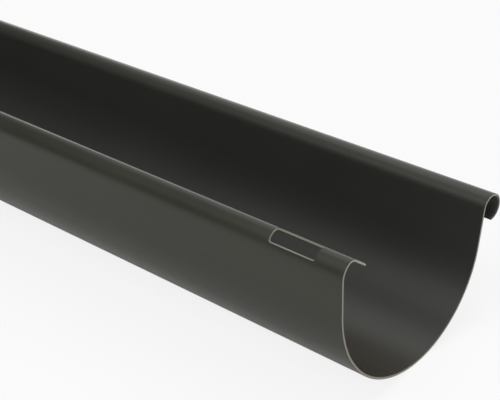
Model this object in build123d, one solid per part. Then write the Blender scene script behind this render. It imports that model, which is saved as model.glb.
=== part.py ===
"""Half-round eaves gutter: one extruded length of dark plastic profile.

The wall is the same thickness all round. The rear edge turns inwards into a hooked lip, the front
edge rolls outwards into an open bead, and the lip has a milled slot near each end. The length runs
along X, the rear lip is on the -Y side and the front bead on the +Y side. The profile is drawn with
its mouth level and then turned about its length until it lies as it comes to rest on a floor.
"""
from build123d import *
import os
from math import atan2, degrees

# Stock, in millimetres
LENGTH = 1000.0
WALL = 1.5

# Half-round trough, with side walls that lean outwards (angles in degrees)
TROUGH_RADIUS = 61.5            # outside of the half-round
FLARE = 5.5                     # lean of both side walls from the vertical
REAR_WALL = 20.0                # straight wall between the half-round and the lip
FRONT_WALL = 21.7               # straight wall between the half-round and the bead

# Hooked lip on the rear edge: a wide shoulder, a tight crown and a straight end that slopes down
SHOULDER_RADIUS = 10.5          # these radii are on the middle of the wall
SHOULDER_TURN = 52.0
CROWN_RADIUS = 4.9
CROWN_TURN = 75.0
LIP_END = 10.0

# Open round bead on the front edge
BEAD_DIAMETER = 16.2            # outside
BEAD_TURN = 260.0

# Rounding of the two long free edges
EDGE_ROUNDING = 0.3

# Slot through the lip, near each end of the length
SLOT_LENGTH = 31.0
SLOT_FROM_END = 18.5
SLOT_SILL = 19.0                # height of its lower edge above the trough's centre
SLOT_BACK = 53.5                # distance of its far edge from the middle plane
SLOT_CORNER = 1.5

MIDDLE_RADIUS = TROUGH_RADIUS - WALL / 2
BEAD_RADIUS = (BEAD_DIAMETER - WALL) / 2


def half_outline(steps, side, offset):
    """Edges of one half of the section, from the trough's lowest point out to the free edge.

    Each step is a straight run, as (length,), or a tangent bend, as (radius, turn), on the middle of
    the wall. The front half has side 1 and the rear half -1. The edges keep the given distance from
    that middle line, positive on the outside of the trough.
    """
    point = Vector(0, -MIDDLE_RADIUS - offset)
    heading = Vector(side, 0)
    edges = []
    for step in steps:
        if len(step) == 1:
            edge = Line(point, point + heading * step[0])
        else:
            radius, turn = step
            inwards = 1 if turn > 0 else -1
            edge = JernArc(point, heading, radius + offset * inwards, turn * side)
        edges.append(edge)
        point = edge @ 1
        heading = edge % 1
    return edges


def section():
    """Closed outline of the wall, with its middle line built from runs and tangent bends."""
    quarter = 90 - FLARE
    front = [(MIDDLE_RADIUS, quarter), (FRONT_WALL,), (BEAD_RADIUS, -BEAD_TURN)]
    rear = [
        (MIDDLE_RADIUS, quarter),
        (REAR_WALL,),
        (SHOULDER_RADIUS, SHOULDER_TURN),
        (CROWN_RADIUS, CROWN_TURN),
        (LIP_END,),
    ]
    edges = []
    for steps, side in ((front, 1), (rear, -1)):
        outer = half_outline(steps, side, WALL / 2)
        inner = half_outline(steps, side, -WALL / 2)
        tip = Line(outer[-1] @ 1, inner[-1] @ 1)
        edges += outer + inner + [tip]
    face = make_face(edges)
    tips = face.edges().sort_by(SortBy.LENGTH)[:2]
    return fillet(tips.vertices(), EDGE_ROUNDING)


def slot_cutter(centre_x):
    """Block that mills one slot: a level cut at its lower edge and an upright one at its far edge."""
    reach = TROUGH_RADIUS
    block = Box(SLOT_LENGTH, reach, reach, align=(Align.CENTER, Align.MAX, Align.MIN))
    lower = block.edges().filter_by(Axis.Y).group_by(Axis.Z)[0]
    far = block.edges().filter_by(Axis.Z).group_by(Axis.Y)[-1]
    block = fillet(lower + far, SLOT_CORNER)
    return Pos(centre_x, -SLOT_BACK, SLOT_SILL) * block


def level_gutter():
    """Whole length with its mouth level and the trough's centre line on the X axis."""
    gutter = extrude(Plane.YZ * section(), LENGTH / 2, both=True)
    slot_x = LENGTH / 2 - SLOT_FROM_END - SLOT_LENGTH / 2
    for centre_x in (-slot_x, slot_x):
        gutter -= slot_cutter(centre_x)
    return gutter


def at_rest(gutter):
    """Rolls the length until its centre of mass is under the trough's centre, and stands it on Z = 0."""
    mass_centre = gutter.center()
    tilt = degrees(atan2(mass_centre.Y, -mass_centre.Z))
    rolled = Rot(X=-tilt) * gutter
    box = rolled.bounding_box()
    print(f"rest tilt {tilt:.3f} degrees, trough centre at Y {-box.center().Y:.3f}, Z {-box.min.Z:.3f}")
    return Pos(0, -box.center().Y, -box.min.Z) * rolled


os.makedirs("parts", exist_ok=True)
export_step(at_rest(level_gutter()), "parts/gutter.step")
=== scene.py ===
"""Looks of a half-round eaves gutter in dark co-extruded plastic.

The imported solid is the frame. What shows is one surface worked out afresh from the same section, far finer
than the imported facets: a satin dark skin on every drawn face, and a paler core wherever the length was sawn
or the lip was milled. Lengths are in metres and angles in degrees unless a name says otherwise.
"""

import bpy
import numpy as np
from mathutils import Matrix, Vector


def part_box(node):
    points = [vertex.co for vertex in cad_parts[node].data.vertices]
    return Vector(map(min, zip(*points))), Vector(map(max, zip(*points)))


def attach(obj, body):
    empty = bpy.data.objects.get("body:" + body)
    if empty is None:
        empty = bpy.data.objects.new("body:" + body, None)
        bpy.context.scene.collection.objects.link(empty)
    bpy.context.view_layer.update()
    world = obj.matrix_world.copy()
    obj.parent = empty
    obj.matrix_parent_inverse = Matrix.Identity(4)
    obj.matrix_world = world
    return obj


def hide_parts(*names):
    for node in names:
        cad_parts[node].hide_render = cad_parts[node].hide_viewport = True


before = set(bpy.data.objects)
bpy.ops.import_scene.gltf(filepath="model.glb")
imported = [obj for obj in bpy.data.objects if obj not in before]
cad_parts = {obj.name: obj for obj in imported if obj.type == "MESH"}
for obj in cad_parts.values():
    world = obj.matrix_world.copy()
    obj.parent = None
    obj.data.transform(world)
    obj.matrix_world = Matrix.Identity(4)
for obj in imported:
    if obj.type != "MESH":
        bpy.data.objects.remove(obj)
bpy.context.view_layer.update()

# Section of the wall, all on its middle line
WALL = 0.0015
TROUGH_RADIUS = 0.06075
FLARE = 5.5                     # lean of both side walls
REAR_WALL = 0.020
FRONT_WALL = 0.0217
SHOULDER_RADIUS = 0.0105
SHOULDER_TURN = 52.0
CROWN_RADIUS = 0.0049
CROWN_TURN = 75.0
LIP_END = 0.010
BEAD_RADIUS = 0.00735
BEAD_TURN = 260.0
EDGE_ROUNDING = 0.0003          # of the two long free edges

# Slots milled through the lip
SLOT_LENGTH = 0.031
SLOT_FROM_END = 0.0185
SLOT_SILL = 0.019               # height of the lower edge above the trough's centre
SLOT_BACK = 0.0535              # distance of the far edge from the middle plane
SLOT_CORNER = 0.0015

# How the length lies on the floor, and how its sawn ends were finished
REST_TILT = 10.236              # rolled about its length, towards the bead
BROKEN_EDGE = 0.0001            # the saw's burr taken off
SKIN = 0.00014                  # thickness of the dark outer layer

# Fineness of the surface: rows of faces on each stretch of the section
TROUGH_ROWS = 40                # on each half
WALL_ROWS = 8
BEAD_ROWS = 56
SHOULDER_ROWS = 10              # below the slot
SLOT_ROWS = 32                  # across the slot
LIP_ROWS = 12                   # beyond the slot
TIP_ROWS = 4                    # round each corner of a free edge
SILL_ROW = TIP_ROWS + BEAD_ROWS + 2 * WALL_ROWS + 2 * TROUGH_ROWS + SHOULDER_ROWS
FAR_ROW = SILL_ROW + SLOT_ROWS
LAST_ROW = FAR_ROW + LIP_ROWS + TIP_ROWS
LIP_CROWDING = 1.5              # power by which the lip's rows crowd towards the slot

# Spans between cross-sections, from the middle of the length to its end
MIDDLE_SPANS = 30
CORNER_SPANS = 8                # round a slot's corner
SLOT_SPANS = 7
END_SPANS = 6
ENDS = ((0, -1), (-1, 1))       # first and last cross-section, and the way each looks along the length

# Points at which a whole outline is looked up
LIP_POINTS = 4000
SECTION_POINTS = 20001

# Camera, found from the photograph with the section level and the near end's centre as origin
FOCAL_PIXELS = 1311.0
FRAME_WIDTH_PIXELS = 500
SENSOR_WIDTH = 36.0             # in millimetres
CAMERA_AZIMUTH = 41.347
CAMERA_ELEVATION = 23.680
CAMERA_ROLL = -2.718
CAMERA_PLACE = (0.340668, -0.520951, 0.305775)

gutter_low, gutter_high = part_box("gutter")
HALF_LENGTH = (gutter_high.x - gutter_low.x) / 2
SLOT_CENTRE = HALF_LENGTH - SLOT_FROM_END - SLOT_LENGTH / 2


def bend(radius, turn):
    """Length and turn of a round bend, turning towards the trough's inside."""
    return radius * np.radians(turn), turn


FRONT = [
    bend(TROUGH_RADIUS, 90 - FLARE),
    (FRONT_WALL, 0.0),
    bend(-BEAD_RADIUS, -BEAD_TURN),
]
REAR = [
    bend(TROUGH_RADIUS, 90 - FLARE),
    (REAR_WALL, 0.0),
    bend(SHOULDER_RADIUS, SHOULDER_TURN),
    bend(CROWN_RADIUS, CROWN_TURN),
    (LIP_END, 0.0),
]
FRONT_RUN = sum(length for length, turn in FRONT)
REAR_RUN = sum(length for length, turn in REAR)
LIP_START = sum(length for length, turn in REAR[:2])
BEAD_START = sum(length for length, turn in FRONT[:2])


def along(steps, distance):
    """Points and headings at the given distances along a chain of straight runs and round bends.

    A step is its length and its turn. The heading changes evenly along a step. After s metres that turned
    by an angle a, the chord is s sin(a/2) / (a/2) long and points halfway between the two headings.
    """
    def chord(s, curvature, heading):
        half = curvature * s / 2
        reach = s * np.sinc(half / np.pi)
        return np.stack([reach * np.cos(heading + half), reach * np.sin(heading + half)], axis=-1)

    lengths = np.array([length for length, turn in steps])
    curvatures = np.radians([turn / length for length, turn in steps])
    starts = np.concatenate([[0.0], np.cumsum(lengths)])
    headings = np.concatenate([[0.0], np.cumsum(lengths * curvatures)])
    corners = np.concatenate([[(0.0, 0.0)], np.cumsum(chord(lengths, curvatures, headings[:-1]), axis=0)])
    step = np.clip(np.searchsorted(starts, distance, side="right") - 1, 0, len(steps) - 1)
    run = distance - starts[step]
    points = corners[step] + chord(run, curvatures[step], headings[step])
    return points, headings[step] + curvatures[step] * run


def section_point(distance, outwards):
    """Points of the level section, as (y, z), with the trough's centre as origin.

    The distance runs from the trough's lowest point, forwards to the bead and below zero back to the lip.
    The point is then moved outwards along the wall's normal, (sin h, -cos h) for a heading h. The rear
    half is the same construction seen in a mirror.
    """
    rear = distance < 0
    front_point, front_heading = along(FRONT, np.abs(distance))
    rear_point, rear_heading = along(REAR, np.abs(distance))
    point = np.where(rear[..., None], rear_point, front_point)
    heading = np.where(rear, rear_heading, front_heading)
    y = point[..., 0] + outwards * np.sin(heading)
    z = point[..., 1] - TROUGH_RADIUS - outwards * np.cos(heading)
    return np.where(rear, -y, y), z


def stations():
    """X of every cross-section, closest round the slots' corners, and how far each is drawn in all round.

    Round a corner the sections stand at r (1 - cos t) from the slot's end, for even steps of the angle t.
    """
    slot_far = HALF_LENGTH - SLOT_FROM_END
    slot_near = slot_far - SLOT_LENGTH
    corner = SLOT_CORNER * (1 - np.cos(np.radians(np.linspace(0, 90, CORNER_SPANS + 1))))
    half = np.concatenate([
        np.linspace(0, slot_near, MIDDLE_SPANS + 1)[:-1],
        slot_near + corner,
        np.linspace(slot_near + SLOT_CORNER, slot_far - SLOT_CORNER, SLOT_SPANS + 1)[1:-1],
        slot_far - corner[::-1],
        np.linspace(slot_far, HALF_LENGTH - 3 * BROKEN_EDGE, END_SPANS + 1)[1:],
        [HALF_LENGTH - BROKEN_EDGE, HALF_LENGTH],
    ])
    x = np.concatenate([-half[:0:-1], half])
    drawn_in = np.where(np.isclose(np.abs(x), HALF_LENGTH), BROKEN_EDGE, 0.0)
    return x, drawn_in


def slot_edges(x, side):
    """Distances back along the wall at which its outer (1) or inner (-1) face meets the slot's two cuts.

    The sill is a level cut and the far edge an upright one. Within a corner's radius r of the slot's end,
    both close in by r - sqrt(r^2 - s^2), where s is how far the section is past the corner's centre.
    """
    inside = SLOT_LENGTH / 2 - np.abs(np.abs(x) - SLOT_CENTRE)
    past = np.clip(SLOT_CORNER - inside, 0.0, SLOT_CORNER)
    closing = SLOT_CORNER - np.sqrt(SLOT_CORNER ** 2 - past ** 2)
    lip = np.linspace(LIP_START, REAR_RUN, LIP_POINTS)
    y, z = section_point(-lip, side * WALL / 2)
    rising = slice(0, np.argmax(z) + 1)
    sill = np.interp(SLOT_SILL + closing, z[rising], lip[rising])
    far = np.interp(-SLOT_BACK - closing, y, lip)
    return sill, far


def face_rows(x, drawn_in, side):
    """Distance along the wall, and distance from its middle, of every row on one face at every station.

    The rows run from the bead's free edge to the lip's. Across the lip they follow the slot's edges, so
    that its outline is a line of the grid. Both free edges are quarter circles from their flat to the face.
    """
    sill, far = slot_edges(x, side)
    turn = np.radians(np.linspace(90, 0, TIP_ROWS + 1))
    radius = EDGE_ROUNDING - drawn_in[:, None]
    tip_run = -EDGE_ROUNDING + radius * np.sin(turn)
    tip_out = WALL / 2 - EDGE_ROUNDING + radius * np.cos(turn)

    trough = FRONT[0][0]
    drawn = np.concatenate([
        np.linspace(FRONT_RUN - EDGE_ROUNDING, BEAD_START, BEAD_ROWS + 1)[1:],
        np.linspace(BEAD_START, trough, WALL_ROWS + 1)[1:],
        np.linspace(trough, -trough, 2 * TROUGH_ROWS + 1)[1:],
        np.linspace(-trough, -LIP_START, WALL_ROWS + 1)[1:],
    ])
    drawn = np.broadcast_to(drawn, (len(x), len(drawn)))

    def spread(start, end, share):
        return -(start + (end - start) * share)

    start = np.full_like(sill, LIP_START)[:, None]
    sill = sill[:, None]
    far = far[:, None]
    end = np.full_like(sill, REAR_RUN - EDGE_ROUNDING)
    shoulder = spread(start, sill, np.linspace(0, 1, SHOULDER_ROWS + 1)[1:])
    across = spread(sill, far, np.linspace(0, 1, SLOT_ROWS + 1)[1:])
    beyond = spread(far, end, np.linspace(0, 1, LIP_ROWS + 1)[1:] ** LIP_CROWDING)
    distance = np.concatenate(
        [FRONT_RUN + tip_run, drawn, shoulder, across, beyond, -REAR_RUN - tip_run[:, -2::-1]], axis=1)
    plain = np.broadcast_to(WALL / 2 - drawn_in[:, None], (len(x), distance.shape[1] - 2 * TIP_ROWS - 1))
    out = np.concatenate([tip_out, plain, tip_out[:, -2::-1]], axis=1)
    return distance, side * out


def rolled(y, z):
    """Level points turned about the length, towards the bead, by the tilt at which the gutter rests."""
    tilt = np.radians(REST_TILT)
    return y * np.cos(tilt) + z * np.sin(tilt), z * np.cos(tilt) - y * np.sin(tilt)


def lay_down(x, y, z):
    """Level points as the gutter rests: turned, halfway across over the origin, and lowest on the floor."""
    run = np.linspace(-REAR_RUN, FRONT_RUN, SECTION_POINTS)
    faces = [rolled(*section_point(run, out)) for out in (WALL / 2, -WALL / 2)]
    low = np.min(faces, axis=(0, 2))
    high = np.max(faces, axis=(0, 2))
    y, z = rolled(y, z)
    return np.stack([np.broadcast_to(x, y.shape), y - (low[0] + high[0]) / 2, z - low[1]], axis=-1)


def cells(grid):
    """Four-sided faces of a grid of vertex numbers, wound so that rows x columns face outwards."""
    return np.stack([grid[:-1, :-1], grid[1:, :-1], grid[1:, 1:], grid[:-1, 1:]], axis=-1)


def surface_points(x, drawn_in):
    """Points of the whole surface, and the values that the finishes read at each.

    Every station has one ring: the outer face's rows from bead to lip, then the inner face's rows back.
    After all the rings come each station's middle points, halfway between the two faces.
    """
    outer_run, outer_out = face_rows(x, drawn_in, 1)
    inner_run, inner_out = face_rows(x, drawn_in, -1)
    rows = LAST_ROW + 1
    ring_run = np.concatenate([outer_run, inner_run[:, ::-1]], axis=1)
    ring_out = np.concatenate([outer_out, inner_out[:, ::-1]], axis=1)
    ring = lay_down(x[:, None], *section_point(ring_run, ring_out))
    middle = (ring[:, :rows] + ring[:, :rows - 1:-1]) / 2
    middle_run = (outer_run + inner_run) / 2
    points = np.concatenate([ring.reshape(-1, 3), middle.reshape(-1, 3)])

    free_edge = np.where(middle_run > 0, FRONT_RUN, REAR_RUN) - np.abs(middle_run)
    depth = np.concatenate([
        np.broadcast_to(drawn_in[:, None], ring_run.shape).ravel(),
        np.clip(free_edge, 0, WALL / 2).ravel(),
    ])
    run = np.concatenate([ring_run.ravel(), middle_run.ravel()])
    out = np.concatenate([ring_out.ravel(), np.zeros(middle_run.size)])
    past_wall = np.maximum(run - BEAD_START, -run - LIP_START) / BEAD_RADIUS
    values = {
        "skin_depth": depth,
        "round_the_wall": run,
        "inside": (out < 0) * np.clip(1 - past_wall, 0, 1),
        # where painted light makes the bead's hollow paler
        "bead_hollow_painted_light": (out > 0) * np.clip((run - BEAD_START) / BEAD_RADIUS, 0, 1),
    }
    return points, values


def skin_faces(ring, in_slot):
    """Drawn faces: every cell between the rings, less those that the slots take from the lip."""
    faces = cells(np.concatenate([ring, ring[:, :1]], axis=1))
    last = 2 * LAST_ROW + 1
    shown = np.ones(faces.shape[:2], bool)
    shown[in_slot, SILL_ROW:FAR_ROW] = False
    shown[in_slot, last - FAR_ROW:last - SILL_ROW] = False
    return faces[shown]


def ladder(lines, station, first, last, towards):
    """Faces across the wall at one station, by way of its middle points, looking towards one end."""
    rungs = np.stack([line[station, first:last + 1] for line in lines])
    faces = cells(rungs).reshape(-1, 4)
    return faces if towards > 0 else faces[:, ::-1]


def cut_faces(lines, in_slot):
    """Milled and sawn faces: the sill, far edge and two sides of each slot, then both ends."""
    sill = cells(np.stack([line[:, SILL_ROW] for line in lines], axis=1))[in_slot]
    far = cells(np.stack([line[:, FAR_ROW] for line in lines[::-1]], axis=1))[in_slot]
    cut = [sill.reshape(-1, 4), far.reshape(-1, 4)]
    sides = np.flatnonzero(np.diff(in_slot.astype(int))) + 1
    for station, towards in zip(sides, (1, -1, 1, -1)):
        cut.append(ladder(lines, station, SILL_ROW, FAR_ROW, towards))
    for station, towards in ENDS:
        cut.append(ladder(lines, station, 1, LAST_ROW - 1, towards))
    return np.concatenate(cut)


def corner_faces(lines):
    """Three-sided faces that close each sawn end at its two rounded free edges."""
    caps = []
    for station, towards in ENDS:
        o, m, i = (line[station] for line in lines)
        corner = np.array([
            (o[0], m[1], o[1]), (i[0], i[1], m[1]), (i[0], m[1], o[0]),
            (o[-2], m[-2], o[-1]), (m[-2], i[-2], i[-1]), (m[-2], i[-1], o[-1]),
        ])
        caps.append(corner if towards > 0 else corner[:, ::-1])
    return np.concatenate(caps)


def gutter_surface():
    """Closed surface of the whole length: its points, their values, and its skin, cut and corner faces.

    The lines are the vertex numbers of the outer face, the middle and the inner face, as stations x rows.
    """
    x, drawn_in = stations()
    points, values = surface_points(x, drawn_in)
    rows = LAST_ROW + 1
    ring = np.arange(len(x) * 2 * rows).reshape(len(x), 2 * rows)
    middle = ring.size + np.arange(len(x) * rows).reshape(len(x), rows)
    lines = (ring[:, :rows], middle, ring[:, :rows - 1:-1])
    between = (x[:-1] + x[1:]) / 2
    in_slot = np.abs(np.abs(between) - SLOT_CENTRE) < SLOT_LENGTH / 2
    return points, values, skin_faces(ring, in_slot), cut_faces(lines, in_slot), corner_faces(lines)


def make_gutter():
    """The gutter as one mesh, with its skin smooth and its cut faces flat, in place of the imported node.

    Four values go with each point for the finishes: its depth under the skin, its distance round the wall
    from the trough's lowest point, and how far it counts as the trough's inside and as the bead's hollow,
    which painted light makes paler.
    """
    points, values, skin, cut, caps = gutter_surface()
    used = np.unique(np.concatenate([skin.ravel(), cut.ravel(), caps.ravel()]))
    place = np.full(len(points), -1)
    place[used] = np.arange(len(used))
    faces = place[skin].tolist() + place[cut].tolist() + place[caps].tolist()
    mesh = bpy.data.meshes.new("gutter_profile")
    mesh.from_pydata(points[used].tolist(), [], faces)
    is_cut = np.arange(len(faces)) >= len(skin)
    mesh.polygons.foreach_set("use_smooth", ~is_cut)
    mesh.polygons.foreach_set("material_index", is_cut.astype(np.int32))
    sides = np.array([len(face) for face in faces])
    edge_of_corner = np.empty(sides.sum(), np.int32)
    mesh.loops.foreach_get("edge_index", edge_of_corner)
    is_sharp = np.zeros(len(mesh.edges), bool)
    is_sharp[edge_of_corner[np.repeat(is_cut, sides)]] = True
    mesh.edges.foreach_set("use_edge_sharp", is_sharp)
    for name, value in values.items():
        mesh.attributes.new(name, "FLOAT", "POINT").data.foreach_set("value", value[used].astype(np.float32))
    mesh.materials.append(satin_skin())
    mesh.materials.append(sawn_core())
    mesh.update()
    gutter = bpy.data.objects.new("gutter_profile", mesh)
    bpy.context.scene.collection.objects.link(gutter)
    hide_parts("gutter")
    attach(gutter, "root")


class Nodes:
    """Short ways to add and join shader nodes in one node tree."""

    def __init__(self, tree):
        self.tree = tree
        self.nodes = tree.nodes

    def node(self, kind, inputs=(), **settings):
        made = self.nodes.new("ShaderNode" + kind)
        for setting, value in settings.items():
            setattr(made, setting, value)
        for socket, value in dict(inputs).items():
            self.join(value, made.inputs[socket])
        return made

    def join(self, value, socket):
        if isinstance(value, bpy.types.NodeSocket):
            self.tree.links.new(value, socket)
        else:
            socket.default_value = value

    def math(self, operation, a, b):
        return self.node("Math", {0: a, 1: b}, operation=operation).outputs[0]

    def absolute(self, value):
        return self.math("ABSOLUTE", value, 0.0)

    def average(self, a, b):
        return self.math("MULTIPLY", self.math("ADD", a, b), 0.5)

    def coordinate(self, vector, axis):
        return self.node("SeparateXYZ", {0: vector}).outputs[axis]

    def noise(self, vector, scale, detail=2.0):
        made = self.node("TexNoise", {"Vector": vector, "Scale": scale, "Detail": detail})
        return made.outputs["Fac"]

    def scaled(self, vector, factors):
        return self.node("VectorMath", {0: vector, 1: factors}, operation="MULTIPLY").outputs[0]

    def dimmed(self, colour, share):
        return self.node("VectorMath", {0: colour, "Scale": share}, operation="SCALE").outputs[0]

    def between(self, value, low, high, first, last):
        inputs = {"Value": value, "From Min": low, "From Max": high, "To Min": first, "To Max": last}
        return self.node("MapRange", inputs).outputs[0]

    def smooth(self, value, low, high, first, last):
        made = self.between(value, low, high, first, last)
        made.node.interpolation_type = "SMOOTHSTEP"
        return made

    def mixed(self, share, first, second):
        made = self.node("Mix", data_type="RGBA")
        for socket, value in (("Factor_Float", share), ("A_Color", first), ("B_Color", second)):
            self.join(value, next(i for i in made.inputs if i.identifier == socket))
        return next(o for o in made.outputs if o.identifier == "Result_Color")

    def bump(self, height, distance, under=None):
        inputs = {"Height": height, "Distance": distance, "Strength": 1.0}
        if under is not None:
            inputs["Normal"] = under
        return self.node("Bump", inputs).outputs[0]


class Finish(Nodes):
    """A material with one Principled shader."""

    def __init__(self, name, **sockets):
        self.material = bpy.data.materials.new(name)
        self.material.use_nodes = True
        super().__init__(self.material.node_tree)
        self.shader = self.nodes["Principled BSDF"]
        for socket, value in sockets.items():
            self.shader.inputs[socket.replace("_", " ")].default_value = value

    def value(self, name):
        return self.node("Attribute", attribute_name=name).outputs["Fac"]

    def where(self):
        return self.node("TexCoord").outputs["Object"]


WHITE = (1.0, 1.0, 1.0, 1.0)
NOISE_RANGE = (0.35, 0.65)      # between which most of a noise's values lie

# Colours of the drawn plastic
SKIN_COLOUR = (0.0362, 0.0376, 0.0272, 1.0)
INSIDE_COLOUR = (0.0355, 0.0360, 0.0318, 1.0)
# Painted light on the trough's bed: a lighter, browner colour there
BED_PAINTED_LIGHT = (0.0570, 0.0510, 0.0410, 1.0)
BED_PAINTED_LIGHT_MIDDLE = -0.025             # of the browner bed inside, as a distance round the wall
BED_PAINTED_LIGHT_HALF = 0.015                # distance from there to which its colour is full
BED_PAINTED_LIGHT_FADES = 0.065               # and at which it has gone
# Painted light in the bead's hollow: a paler grey
HOLLOW_PAINTED_LIGHT = (0.100, 0.105, 0.102, 1.0)
UNEVEN_SKIN = 0.07              # how far the skin's colour strays to either side

# Sheen of the drawn plastic
SHEEN_TINT = (0.95, 1.0, 0.95, 1.0)
SMOOTHEST = 0.33
ROUGHEST = 0.39
GRAZE_STARTS = 0.5              # turn of a face from the look, 0 to 1, at which its roughness starts to fall
GRAZE_ENDS = 0.92
GRAZED_ROUGHNESS = 0.25         # share of it left there

# Patterns of the drawn plastic, in noise cells per metre
DIE_LINES = (3.0, 700.0, 1.0)   # along the length, and round the wall
SLOW_BANDS = (1.5, 60.0, 1.0)
CLOUDS = 14.0
GRAIN = 2600.0
LINE_DEPTH = 0.000002
GRAIN_DEPTH = 0.0000012

# The core where it was sawn or milled
CORE_COLOUR = (0.37, 0.345, 0.30, 1.0)
CORE_DARKER = (0.29, 0.265, 0.225, 1.0)
SPECKLED = 0.6                  # how far the specks go from the one to the other
CORE_SMOOTHEST = 0.5
CORE_ROUGHEST = 0.7
MELTED_EDGE = (0.075, 0.060, 0.045, 1.0)
MELTED_DEPTH = 0.00012          # width of the browner edge under the skin
SKIN_BLUR = 0.00003             # width over which the skin gives way to it
DRAGGED_CORE = 0.78             # share of the core's lightness that the saw left on trough and walls
DRAG_FADES = 0.020              # distance past the walls over which that share rises to all of it
SMEAR_START = BEAD_START + bend(BEAD_RADIUS, 105)[0]
SMEAR_END = BEAD_START + bend(BEAD_RADIUS, 145)[0]
SMEAR = 0.9                     # share of the skin's colour smeared over the core from there on
SAW_MARKS = (900.0, 5200.0, 700.0)  # noise cells per metre along each axis
SAW_MARK_RANGE = (0.3, 0.7)     # wider than for the other noises
SPECKS = 3200.0
SAW_MARK_DEPTH = 0.00003


def satin_skin():
    """Drawn plastic: faint lines from the die along the length, a fine grain, and an uneven satin sheen.

    The trough's inside is a little more neutral than the rest. Its bed is lighter and browner, which is
    painted light on the trough's floor, and the bead's hollow is a paler grey, which is painted light in that
    hollow.
    """
    f = Finish("satin_anthracite_skin", IOR=1.5, Specular_IOR_Level=0.31, Specular_Tint=SHEEN_TINT)
    where = f.where()
    run = f.value("round_the_wall")
    drawn = f.node("CombineXYZ", {0: f.coordinate(where, 0), 1: run}).outputs[0]
    die_lines = f.noise(f.scaled(drawn, DIE_LINES), 1.0, 3.0)
    slow_bands = f.noise(f.scaled(drawn, SLOW_BANDS), 1.0)
    clouds = f.noise(where, CLOUDS)
    grain = f.noise(where, GRAIN)

    # Painted light: the trough's bed is made lighter and browner
    from_painted_light = f.absolute(f.math("SUBTRACT", run, BED_PAINTED_LIGHT_MIDDLE))
    inside = f.mixed(f.smooth(from_painted_light, BED_PAINTED_LIGHT_HALF, BED_PAINTED_LIGHT_FADES, 1.0, 0.0), INSIDE_COLOUR, BED_PAINTED_LIGHT)
    # Painted light: the bead's hollow is made a paler grey
    outside_with_painted_light = f.mixed(f.value("bead_hollow_painted_light"), SKIN_COLOUR, HOLLOW_PAINTED_LIGHT)
    skin = f.mixed(f.value("inside"), outside_with_painted_light, inside)
    tone = f.average(slow_bands, clouds)
    uneven = f.between(tone, *NOISE_RANGE, 1.0 - UNEVEN_SKIN, 1.0 + UNEVEN_SKIN)
    f.join(f.dimmed(skin, uneven), f.shader.inputs["Base Color"])

    roughness = f.between(f.average(clouds, die_lines), *NOISE_RANGE, SMOOTHEST, ROUGHEST)
    turned_away = f.node("LayerWeight", {"Blend": 0.5}).outputs["Facing"]
    grazed = f.between(turned_away, GRAZE_STARTS, GRAZE_ENDS, 1.0, GRAZED_ROUGHNESS)
    f.join(f.math("MULTIPLY", roughness, grazed), f.shader.inputs["Roughness"])
    f.join(f.bump(grain, GRAIN_DEPTH, f.bump(die_lines, LINE_DEPTH)), f.shader.inputs["Normal"])
    return f.material


def sawn_core():
    """Cut plastic: a pale, matt core crossed by fine saw marks, under the thin dark skin.

    The core is darker on trough and walls than at the lip and the bead, and the saw smeared it dark on the
    bead's outer half.
    """
    f = Finish("pale_sawn_core", IOR=1.5)
    where = f.where()
    run = f.value("round_the_wall")
    depth = f.value("skin_depth")
    marks = f.noise(f.scaled(where, SAW_MARKS), 1.0)
    specks = f.noise(where, SPECKS, 3.0)

    speckled = f.mixed(f.between(specks, *NOISE_RANGE, 0.0, SPECKLED), CORE_COLOUR, CORE_DARKER)
    dragged = f.between(f.absolute(run), LIP_START, LIP_START + DRAG_FADES, DRAGGED_CORE, 1.0)
    smeared = f.smooth(run, SMEAR_START, SMEAR_END, 0.0, SMEAR)
    core = f.mixed(smeared, f.dimmed(speckled, dragged), SKIN_COLOUR)
    edge = f.mixed(f.between(depth, SKIN, SKIN + MELTED_DEPTH, 0.0, 1.0), MELTED_EDGE, core)
    colour = f.mixed(f.between(depth, SKIN - SKIN_BLUR, SKIN, 0.0, 1.0), SKIN_COLOUR, edge)
    f.join(colour, f.shader.inputs["Base Color"])
    f.join(f.between(marks, *SAW_MARK_RANGE, CORE_SMOOTHEST, CORE_ROUGHEST), f.shader.inputs["Roughness"])
    f.join(f.bump(marks, SAW_MARK_DEPTH), f.shader.inputs["Normal"])
    return f.material


# The studio floor
FLOOR_COLOUR = (0.90, 0.90, 0.90, 1.0)
FLOOR_WHITE = 0.85              # share of plain white that a look at the floor adds to its lit colour
# Painted shade: near the gutter a reflection of the floor loses the white share, so there it looks darker
# than its real shadow alone makes it
MIRRORED_WHITE = 0.29           # how much of that share a reflection of the floor gets, far from the gutter
FLOOR_SHADE_PAINTED_WITHIN = 0.10             # distance from the middle plane within which the reflection gets none
FLOOR_SHADE_PAINTED_UNTIL = 0.30              # and from which on it gets all of it
FLOOR_HALF = 6.0


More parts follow.
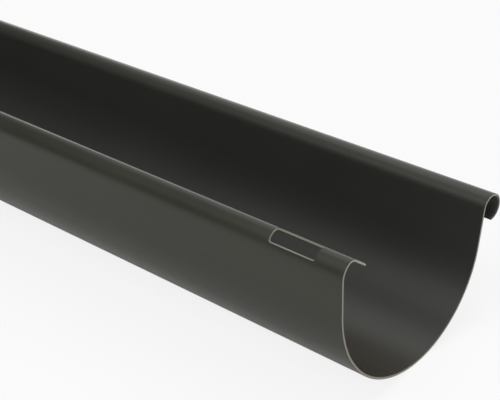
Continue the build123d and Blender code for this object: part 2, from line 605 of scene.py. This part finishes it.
def make_floor():
    """Level white floor, which keeps the gutter's soft shadow. In reflections the floor round the gutter also
    has painted shade, as there it loses its white share. It isn't part of the object.
    """
    mesh = bpy.data.meshes.new("studio_floor")
    corners = [(-FLOOR_HALF, -FLOOR_HALF, 0), (FLOOR_HALF, -FLOOR_HALF, 0),
               (FLOOR_HALF, FLOOR_HALF, 0), (-FLOOR_HALF, FLOOR_HALF, 0)]
    mesh.from_pydata(corners, [], [(0, 1, 2, 3)])
    f = Finish("white_floor", Base_Color=FLOOR_COLOUR, Roughness=0.9, Specular_IOR_Level=0.0)
    path = f.node("LightPath").outputs
    across = f.absolute(f.coordinate(f.where(), 1))
    # Painted shade round the gutter, seen only in reflections
    away = f.smooth(across, FLOOR_SHADE_PAINTED_WITHIN, FLOOR_SHADE_PAINTED_UNTIL, 0.0, MIRRORED_WHITE)
    mirrored = f.math("ADD", path["Is Glossy Ray"], path["Is Transmission Ray"])
    seen = f.math("ADD", path["Is Camera Ray"], f.math("MULTIPLY", mirrored, away))
    glow = f.node("Emission", {"Color": WHITE, "Strength": 1.0}).outputs[0]
    share = f.math("MULTIPLY", seen, FLOOR_WHITE)
    floor_look = f.node("MixShader", {0: share, 1: f.shader.outputs[0], 2: glow}).outputs[0]
    f.join(floor_look, f.nodes["Material Output"].inputs["Surface"])
    mesh.materials.append(f.material)
    floor = bpy.data.objects.new("studio_floor", mesh)
    bpy.context.scene.collection.objects.link(floor)


# The studio's light
ROOM_LIGHT = 0.05
BACKGROUND_WHITE = 0.97         # what a plain look past the floor shows
SOFT_LIGHTS = {                 # azimuth from +X towards +Y, elevation, angular radius, light at the middle
    "high_behind": (123.0, 57.0, 36.0, 1.85),
    "low_behind": (131.0, 6.0, 30.0, 1.3),
    "high_before": (251.0, 53.0, 32.0, 2.3),
    "above": (190.0, 76.0, 34.0, 0.65),
    "low_beside": (12.0, -5.0, 60.0, 1.9),
}
BOX_PLACE = (0.50, -0.62, 0.22)
BOX_AIM = (0.42, -0.06, 0.05)
BOX_SIZE = 0.40
BOX_LIGHT = 1.2                 # its radiance


def make_room():
    """World light: a dim plain room with five round, soft-edged lights round the gutter.

    A light's share is a smooth step of the cosine of the angle from its middle, from none at its radius to
    all of it at the middle. The camera itself sees the room as plain white.
    """
    world = bpy.data.worlds.new("studio")
    world.use_nodes = True
    bpy.context.scene.world = world
    f = Nodes(world.node_tree)
    direction = f.node("TexCoord").outputs["Generated"]
    total = ROOM_LIGHT
    for azimuth, elevation, radius, light in SOFT_LIGHTS.values():
        a, e, edge = np.radians([azimuth, elevation, radius])
        middle = (np.cos(a) * np.cos(e), np.sin(a) * np.cos(e), np.sin(e))
        facing = f.node("VectorMath", {0: direction, 1: middle}, operation="DOT_PRODUCT").outputs["Value"]
        total = f.math("ADD", total, f.smooth(facing, float(np.cos(edge)), 1.0, 0.0, light))
    f.join(WHITE, f.nodes["Background"].inputs["Color"])
    looked_at = f.node("LightPath").outputs["Is Camera Ray"]
    shown = f.between(looked_at, 0.0, 1.0, total, BACKGROUND_WHITE)
    f.join(shown, f.nodes["Background"].inputs["Strength"])


def make_soft_box():
    """Square soft box, low in front of the near end. Its power is its radiance times pi times its area."""
    lamp = bpy.data.lights.new("soft_box", "AREA")
    lamp.shape = "SQUARE"
    lamp.size = BOX_SIZE
    lamp.energy = BOX_LIGHT * np.pi * BOX_SIZE ** 2
    box = bpy.data.objects.new("soft_box", lamp)
    towards = Vector(BOX_AIM) - Vector(BOX_PLACE)
    box.matrix_world = Matrix.Translation(BOX_PLACE) @ towards.to_track_quat("-Z", "Y").to_matrix().to_4x4()
    bpy.context.scene.collection.objects.link(box)


def level_to_rest():
    """Turn and place that take the level section's frame, at the near end, to the gutter as it lies."""
    tilt = Matrix.Rotation(np.radians(-REST_TILT), 4, "X")
    origin = lay_down(np.array([HALF_LENGTH]), np.zeros(1), np.zeros(1))[0]
    return Matrix.Translation(Vector(origin)) @ tilt


def make_camera():
    """Camera at the photograph's viewing angle, turned with the gutter from level to its rest."""
    azimuth, elevation, roll = np.radians([CAMERA_AZIMUTH, CAMERA_ELEVATION, CAMERA_ROLL])
    level = np.cos(elevation)
    forward = Vector((-np.sin(azimuth) * level, np.cos(azimuth) * level, -np.sin(elevation)))
    right = Vector((np.cos(azimuth), np.sin(azimuth), 0.0))
    down = forward.cross(right)
    rolled_right = right * np.cos(roll) + down * np.sin(roll)
    rolled_down = down * np.cos(roll) - right * np.sin(roll)
    turn = Matrix((rolled_right, -rolled_down, -forward)).transposed().to_4x4()
    data = bpy.data.cameras.new("camera")
    data.sensor_width = SENSOR_WIDTH
    data.lens = FOCAL_PIXELS * SENSOR_WIDTH / FRAME_WIDTH_PIXELS
    camera = bpy.data.objects.new("camera", data)
    camera.matrix_world = level_to_rest() @ Matrix.Translation(CAMERA_PLACE) @ turn
    bpy.context.scene.collection.objects.link(camera)
    bpy.context.scene.camera = camera


make_camera()
make_gutter()
make_floor()
make_room()
make_soft_box()
bpy.context.scene.view_settings.view_transform = "Standard"
